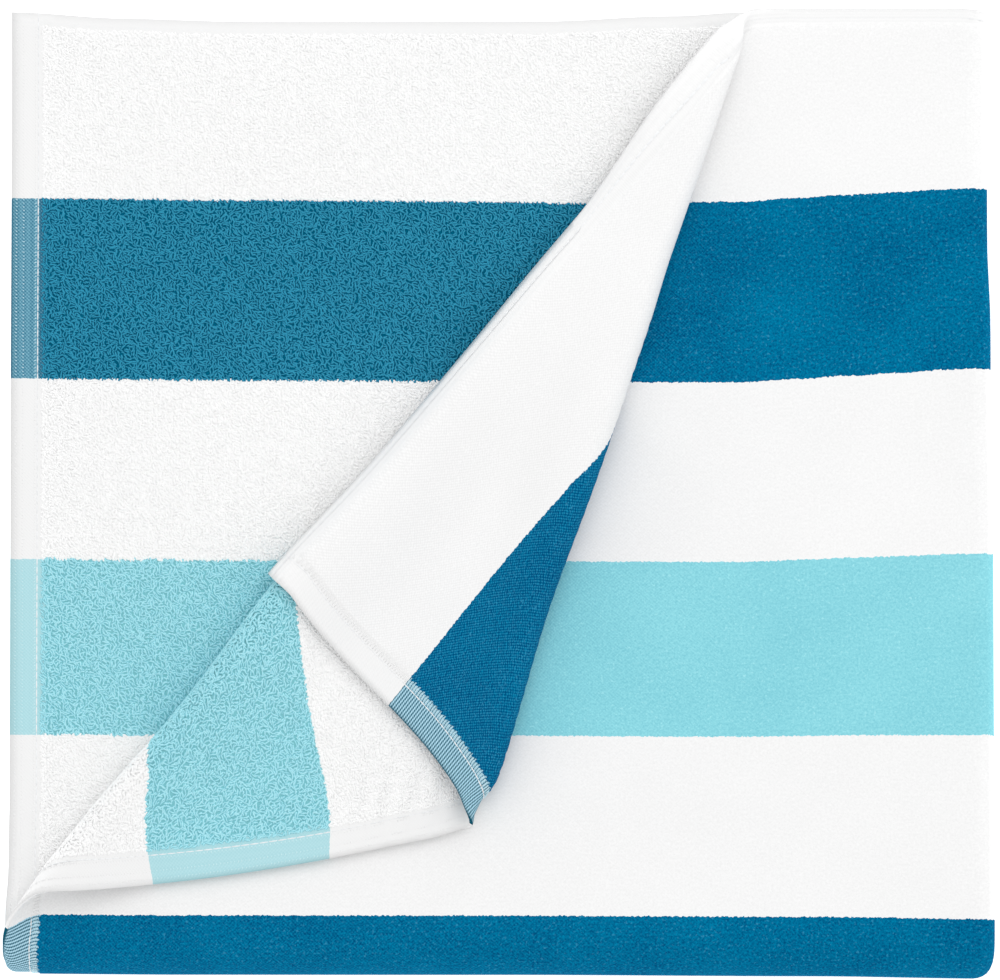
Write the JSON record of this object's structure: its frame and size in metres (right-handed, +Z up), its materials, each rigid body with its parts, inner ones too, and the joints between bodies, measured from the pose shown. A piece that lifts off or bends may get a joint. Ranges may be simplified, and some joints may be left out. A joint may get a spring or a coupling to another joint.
{
  "type": "beach towel",
  "caption": "A wide-striped beach towel folded into a square, one corner of its top layer turned back in a diagonal pleat",
  "frame": {"origin": "middle of the folded towel's footprint, on the surface it rests on", "axes": "+X along the towel's length towards its folded right edge, +Y towards the upper selvedges, +Z up through the stack"},
  "size_m": [0.3868, 0.3786, 0.0539],
  "materials": {
    "towel": "cotton, velour pile on one face and terry loops on the other, in white, teal and aqua stripes"
  },
  "bodies": {
    "root": {"towel": "towel"}
  },
  "joints": []
}
